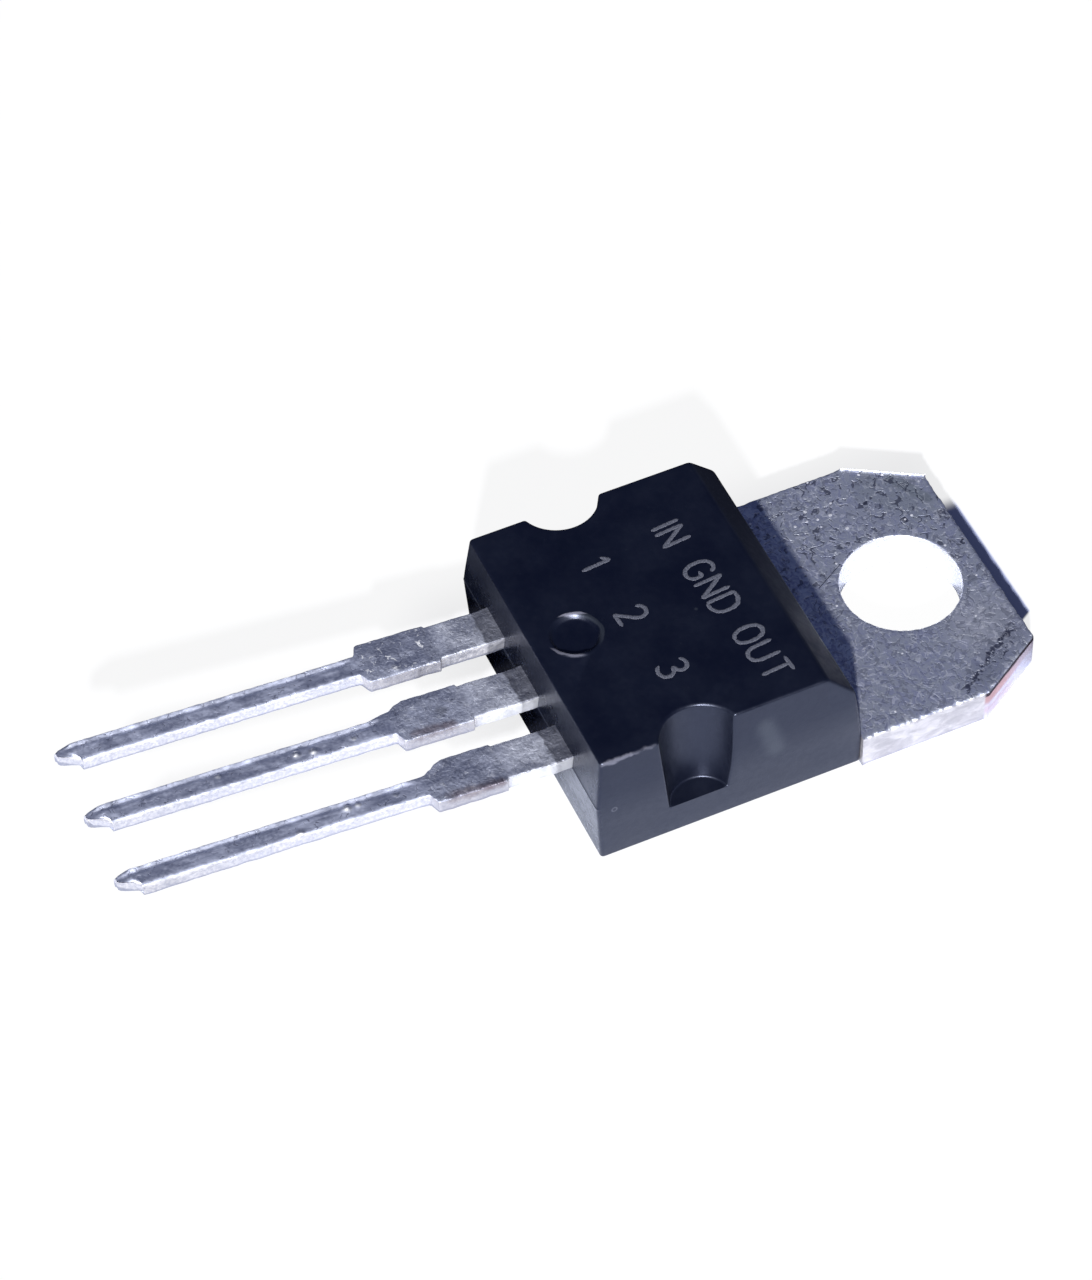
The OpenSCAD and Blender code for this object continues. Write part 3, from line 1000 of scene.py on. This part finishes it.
def lead_floor(s, inner):
    """Height of a lead's underside at distance s. inner is the path of the part inside the moulding."""
    if s > LIFT_FROM:
        return PARTING + (s - LIFT_FROM) * LEAD_LIFT
    for (s0, z0), (s1, z1) in zip(inner, inner[1:]):
        if s <= s1:
            return blend(z0, z1, (s - s0) / (s1 - s0))
    return PARTING


def section(half_left, half_right, z_low, z_high, r_top, r_low):
    """A lead's cross-section in X and Z, as a ring of points round it."""
    corners = [(half_right, z_high, 1, 1, r_top), (-half_left, z_high, -1, 1, r_top),
               (-half_left, z_low, -1, -1, r_low), (half_right, z_low, 1, -1, r_low)]
    curves = []
    for i, (x, z, sx, sz, r) in enumerate(corners):
        on_side = (x, z - sz * r)
        on_face = (x - sx * r, z)
        a, b = (on_side, on_face) if i % 2 == 0 else (on_face, on_side)
        curves.append(corner_curve(a, (x, z), b, 4))
    made = []
    for i, steps in enumerate((12, 4, 6, 4)):
        made += curves[i] + between(curves[i][-1], curves[(i + 1) % 4][0], steps)
    return made


def lead_stations(start):
    """Distances at which a lead has a ring, closer together at its steps."""
    marks = [start, start + 0.02, -0.4, -0.1]
    s = 0.0
    while s < LEAD_LEN:
        marks.append(s)
        s += STATION_STEP
    for near in (STUB_FROM, STUB_FROM + STUB_STEP):
        marks += [near + d for d in (-0.02, 0.0, 0.02)]
    marks += [LEAD_LEN - d for d in (0.45, 0.35, 0.25, 0.15, 0.1, 0.05, 0.02, 0.0)]
    kept = []
    for s in sorted(marks):
        if not kept or s - kept[-1] > 0.012:
            kept.append(s)
    return kept


def lead_crown(across, narrow):
    """Height on the top of a narrow part: a raised far edge with a groove inside it."""
    lip = CROWN_H * math.exp(-((across + 0.80) / 0.14) ** 2)
    groove = CROWN_H * math.exp(-((across + 0.48) / 0.16) ** 2)
    return (lip - groove) * narrow


def lead_tip(q, across, s):
    """Bends a point of a lead's end: cut askew, thinned, with a spike of tin at the far corner."""
    end = smooth((s - (LEAD_LEN - TIP_BEND)) / TIP_BEND)
    q.y += end * TIP_SKEW * smooth((across + 0.35) / 1.35) ** 0.8
    q.z -= end * end * 0.05 * smooth((0.5 - across) / 1.2)
    far = smooth((-across - 0.6) / 0.4) * smooth((s - LEAD_LEN + 0.12) / 0.12)
    q.z -= TIP_SPIKE * far
    q.y -= 0.03 * far


def lead_skin(side, inner):
    """A lead as a skin of rings from inside the moulding to its cut tip."""
    x0 = side * PITCH
    seed = 11.0 + 5 * side
    rings = []
    for s in lead_stations(inner[0][0]):
        left, right = lead_half_widths(side, s)
        if s < -0.9:
            left = right = BURIED_HALF[side]
        outside = smooth(s / 0.2)
        rag = 0.014 * ripple(s * 2.1, seed, 0.3)
        rag = (rag + 0.009 * ripple(s * 6.5, seed, 1.3)) * outside
        narrow = smooth((s - NARROW_FROM) / 0.5)
        low = lead_floor(s, inner)
        thin = TIP_THIN * smooth((s - (LEAD_LEN - TIP_THIN_RUN)) / TIP_THIN_RUN)
        high = low + LEAD_T - thin
        r_top = blend(blend(0.05, 0.085, outside), 0.135, narrow)
        ring = section(left + rag, right - rag, low, high, r_top, blend(0.05, 0.1, narrow))
        made = []
        for p in ring:
            q = Vector((x0 + p.x, LEAD_END - s, p.y))
            across = p.x / (left if p.x < 0 else right)
            if p.y > high - 0.14 and outside > 0:
                q.z += (lumps(q, 0.30, 0.016, seed) + lumps(q, 0.12, 0.008, seed + 3)) * outside
                q.z += lead_crown(across, narrow * (1 - thin * 9))
                for bx, bs, br, bh in BEADS[side]:
                    away = math.hypot(p.x - bx, s - bs) / br
                    q.z += bh * math.exp(-away * away * 2)
            elif outside > 0:
                push = lumps(q, 0.35, 0.012, seed + 7) * outside
                q.x += push if across > 0.9 else (-push if across < -0.9 else 0.0)
            lead_tip(q, across, s)
            made.append(q)
        rings.append(made)
    return loft(rings)


def lead_shape(side):
    inner = MIDDLE_INNER if side == 0 else OUTER_INNER
    return lead_skin(side, [(LEAD_END - y, z) for y, z in inner])


def heat_tab(material, lead_look):
    shape = join(tab_plate(), pad_block(), lead_shape(0))
    make_piece("tab_pad_and_middle_lead", shape, material, ("heat_tab",), 50,
               (lead_look, lambda at: at.y < LEAD_END + 0.3))


def outer_leads(material):
    for side, name, stands_for in ((-1, "lead_input", "input_lead"), (1, "lead_output", "output_lead")):
        make_piece(name, lead_shape(side), material, (stands_for,), 50)


# Generic marks in place of the print

GLYPHS = {
    "I": [[(0.0, 0), (0.0, 1)]],
    "N": [[(0, 0), (0, 1), (0.56, 0), (0.56, 1)]],
    "G": [[(0.56, 0.8), (0.45, 0.96), (0.28, 1), (0.1, 0.9), (0, 0.68), (0, 0.32), (0.1, 0.1), (0.28, 0),
           (0.46, 0.04), (0.57, 0.18), (0.57, 0.46), (0.36, 0.46)]],
    "D": [[(0, 0), (0, 1), (0.26, 1), (0.48, 0.88), (0.57, 0.66), (0.57, 0.34), (0.48, 0.12), (0.26, 0),
           (0.02, 0)]],
    "O": [[(0.29, 0), (0.1, 0.08), (0, 0.32), (0, 0.68), (0.1, 0.92), (0.29, 1), (0.48, 0.92), (0.58, 0.68),
           (0.58, 0.32), (0.48, 0.08), (0.3, 0)]],
    "U": [[(0, 1), (0, 0.3), (0.08, 0.09), (0.28, 0), (0.48, 0.09), (0.56, 0.3), (0.56, 1)]],
    "T": [[(0, 1), (0.6, 1)], [(0.3, 0.96), (0.3, 0)]],
    "1": [[(0.02, 0.78), (0.24, 1), (0.24, 0)]],
    "2": [[(0.02, 0.76), (0.1, 0.93), (0.28, 1), (0.46, 0.93), (0.53, 0.74), (0.46, 0.54), (0.02, 0),
           (0.56, 0)]],
    "3": [[(0.03, 0.87), (0.15, 0.97), (0.3, 1), (0.47, 0.92), (0.52, 0.76), (0.44, 0.6), (0.24, 0.53),
           (0.45, 0.47), (0.55, 0.29), (0.48, 0.08), (0.28, 0), (0.1, 0.04), (0, 0.16)]],
}
STROKE_HALF = 0.075
PRINT_RISE = 0.007
PRINT_SINK = 0.01
PRINT_SECTION = ((-1, 0), (-0.85, 0.5), (-0.4, 1), (0.4, 1), (0.85, 0.5), (1, 0))
GLYPH_H = 0.95
GLYPH_GAP = 0.24
GLYPH_ROWS = (("IN", (-2.74, -7.3)), ("GND", (-0.95, -7.14)), ("OUT", (1.98, -6.88)),
              ("1", (-2.4, -9.9)), ("2", (-0.2, -9.72)), ("3", (2.2, -9.5)))
PRINT_TILT = math.radians(5)


def stroke(points):
    """A softly crowned line of print along 2D points, slightly uneven like a laser's."""
    dense = [points[0]]
    for a, b in zip(points, points[1:]):
        parts = max(1, round((b - a).length / 0.05))
        dense += [a.lerp(b, i / parts) for i in range(1, parts + 1)]
    soft = dense[:1] + [(a + b * 2 + c) / 4 for a, b, c in zip(dense, dense[1:], dense[2:])] + dense[-1:]
    rings = []
    count = len(soft)
    ends = {0: 0.35, 1: 0.8, count - 2: 0.8, count - 1: 0.35}
    for i, p in enumerate(soft):
        along = (soft[min(i + 1, count - 1)] - soft[max(i - 1, 0)]).normalized()
        across = Vector((-along.y, along.x))
        half = STROKE_HALF * ends.get(i, 1.0) * (1 + 0.25 * ripple(p.x * 9, p.y * 9, 0))
        rise = PRINT_RISE * (0.8 + 0.5 * ripple(p.x * 14, p.y * 14, 3))
        ring = []
        for side, share in PRINT_SECTION:
            q = p + across * half * side
            ring.append(Vector((q.x, q.y, TOP + (rise * share if share else -PRINT_SINK))))
        rings.append(ring)
    return loft(rings)


def lettering(text, start):
    """Strokes of a row of glyphs that starts at a point and reads along +X."""
    along = Vector((math.cos(PRINT_TILT), math.sin(PRINT_TILT)))
    up = Vector((-along.y, along.x))
    at = Vector(start)
    parts = []
    for letter in text:
        for line in GLYPHS[letter]:
            parts.append(stroke([at + along * x * GLYPH_H + up * y * GLYPH_H for x, y in line]))
        width = max(x for line in GLYPHS[letter] for x, _ in line)
        at = at + along * (width * GLYPH_H + GLYPH_GAP)
    return join(*parts)


def generic_marks(material):
    shape = join(*[lettering(text, start) for text, start in GLYPH_ROWS])
    make_piece("terminal_marks", shape, material, (), 60)


# Sealed pieces keep the CAD's shape

def finish_sealed_pieces():
    looks = {
        "silicon_die": plain_metal("silicon", (0.25, 0.27, 0.32), 0.25, 0.2),
        "die_solder": plain_metal("soft_solder", (0.6, 0.6, 0.58), 0.5, 0.1),
        "input_wire": plain_metal("aluminium_wire", (0.82, 0.82, 0.83), 0.3, 0.05),
    }
    looks["output_wire"] = looks["ground_wire"] = looks["input_wire"]
    for name, material in looks.items():
        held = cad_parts[name]
        held.data.materials.clear()
        held.data.materials.append(material)


# Studio

CAMERA_AT = (75.885, -43.025, 104.157)
CAMERA_FORWARD = (-0.5889, 0.2404, -0.7716)
CAMERA_UP = (-0.6974, 0.3314, 0.6355)
LENS = 141.85
SENSOR = 36.0
KEY_FROM = (0.76, -0.38, 0.53)
KEY_STRENGTH = 6.6
KEY_ANGLE = 2.5
KEY_TINT = (0.975, 0.98, 1.0)
SKY_DIM = (0.03, 0.042, 0.105)
SKY_LIT = (0.3, 0.32, 0.38)
SIDE_POOL = ((6.0, -8.0, 0.0), 14.0, 6.0)
SIDE_POOL_STOP = (-2.5, 0.5)
TIP_POOL = ((-0.5, -30.5, 0.0), 6.0, 3.0)
HOLE_POOL = ((0.0, 0.0, 0.0), HOLE_R + 0.3, 0.3)
FAR_WHITE = 0.92
NEAR_WHITE = 0.80
MIRRORED_WHITE = 0.12
FLOOR_DIM = (0.03, 0.032, 0.045)
FLOOR_LIT = (0.82, 0.87, 1.0)
FLOOR_SEEN = (0.9, 0.9, 0.91)
FLOOR_SHADOW_NAVY = (0.38, 0.42, 0.62)
FLOOR_HALF = 400.0
FLOOR_DROP = 0.004
DIM_PATCH_Y = 13.6


def add_camera():
    data = bpy.data.cameras.new("photo_camera")
    data.sensor_fit = "HORIZONTAL"
    data.sensor_width = SENSOR
    data.lens = LENS
    data.clip_start = 0.001
    data.clip_end = 10.0
    camera = put("photo_camera", data)
    forward = Vector(CAMERA_FORWARD).normalized()
    right = forward.cross(Vector(CAMERA_UP)).normalized()
    up = right.cross(forward)
    turn = Matrix((right, up, -forward)).transposed()
    camera.matrix_world = Matrix.Translation(Vector(CAMERA_AT) * MM) @ turn.to_4x4()
    bpy.context.scene.camera = camera


def add_key_light():
    data = bpy.data.lights.new("key", "SUN")
    data.energy = KEY_STRENGTH
    data.angle = math.radians(KEY_ANGLE)
    data.color = KEY_TINT
    put("key", data).rotation_euler = Vector(KEY_FROM).to_track_quat("Z", "Y").to_euler()


def add_world():
    """A dim, bluish room that is paler on the lamp's side. The camera sees plain white."""
    world = bpy.data.worlds.new("studio")
    bpy.context.scene.world = world
    world.use_nodes = True
    tree = world.node_tree
    tree.nodes.clear()
    way = field("TexCoord", {}, "Generated", tree)
    sky = mix(ramp(measure("DOT_PRODUCT", way, KEY_FROM), 0.3, 1.0), SKY_DIM, SKY_LIT)
    seen = mix(field("LightPath", {}, "Is Camera Ray", tree), sky, WHITE)
    shell = field("Background", {"Color": seen, "Strength": 1.0})
    shell.feed(tree.nodes.new("ShaderNodeOutputWorld").inputs[0])


def beyond_footprint(where):
    """Distance in plan from the block and its tab, in metres."""
    middle = (TAB_END + LEAD_END) / 2 * MM
    half = (TAB_END - LEAD_END) / 2 * MM
    dx = abs(axis(where, "X")) - TAB_HALF * MM
    dy = abs(axis(where, "Y") - middle) - half
    plan = field("CombineXYZ", {0: highest(dx, 0.0), 1: highest(dy, 0.0)})
    return measure("LENGTH", plan, (0.0, 0.0, 0.0))


def tab_shadow(where):
    """1 on the strip of floor beyond the tab's end where the photo keeps a navy shadow."""
    ahead = axis(where, "Y")
    across = ramp_mm(axis(where, "X"), -3.6, -2.9) * ramp_mm(chamfer_way(where), 3.42, 3.52, 1.0, 0.0)
    return ramp_mm(ahead, 2.4, 2.6) * ramp_mm(ahead, 3.60, 3.72, 1.0, 0.0) * across


def past_lead_end(where):
    """0 on the painted dim patch of floor right in front of the lead end, 1 elsewhere."""
    off = abs(axis(where, "Y") + DIM_PATCH_Y * MM)
    return highest(ramp_mm(axis(where, "X"), 0.2, 2.2), ramp_mm(off, 1.4, 2.8))


def painted_light_pools(where, in_hole):
    """1 where light is painted into the floor's colour: on the near side, past the tips and, weaker, inside
    the hole.
    """
    stop = ramp_mm(measure("DOT_PRODUCT", where, (-1.0, 1.0, 0.0)), *SIDE_POOL_STOP, 1.0, 0.0)
    pool = spot(where, *SIDE_POOL) * (stop * past_lead_end(where))
    return highest(pool, spot(where, *TIP_POOL), in_hole * 0.6)


def floor_material():
    """Pale floor with pools of light painted into its colour, dim elsewhere, for reflected and bounced rays.
    Seen directly it is nearly white, and keeps a soft shadow.
    """
    made = bpy.data.materials.new("pale_floor")
    made.use_nodes = True
    tree = made.node_tree
    tree.nodes.clear()
    where = place(tree)
    camera, glossy, transmission = (field("LightPath", {}, "Is %s Ray" % ray, tree)
                                    for ray in ("Camera", "Glossy", "Transmission"))
    strip = tab_shadow(where)
    in_hole = spot(where, *HOLE_POOL)
    seen = highest(ramp_mm(beyond_footprint(where), 0.0, 3.0, NEAR_WHITE, FAR_WHITE), in_hole * 0.985)
    direct = camera * (seen * (1.0 - strip))
    mirrored = highest(glossy, transmission) * MIRRORED_WHITE
    pool = highest(painted_light_pools(where, in_hole), camera)
    tone = mix(pool, FLOOR_DIM, mix(camera, FLOOR_LIT, FLOOR_SEEN))
    # Painted shadow: navy on the strip of floor beyond the tab's end, as the camera sees it.
    paper = field("BsdfDiffuse", {"Color": mix(strip * camera, tone, FLOOR_SHADOW_NAVY)})
    glow = field("Emission", {"Color": (*WHITE, 1), "Strength": 1.0}, 0, tree)
    both = field("MixShader", {0: highest(direct, mirrored) * pool, 1: paper, 2: glow})
    both.feed(tree.nodes.new("ShaderNodeOutputMaterial").inputs[0])
    return made


def add_floor():
    mesh = bpy.data.meshes.new("floor")
    corners = [(x * FLOOR_HALF, y * FLOOR_HALF, -FLOOR_DROP) for x, y in ((-1, -1), (1, -1), (1, 1), (-1, 1))]
    mesh.from_pydata([Vector(p) * MM for p in corners], [], [(0, 1, 2, 3)])
    mesh.materials.append(floor_material())
    floor = put("floor", mesh)


bpy.context.scene.view_settings.view_transform = "Standard"
add_camera()
add_key_light()
add_world()
add_floor()
LEAD_TIN = lead_material()
moulding(moulding_material())
heat_tab(tab_material(), LEAD_TIN)
outer_leads(LEAD_TIN)
generic_marks(print_material())
finish_sealed_pieces()
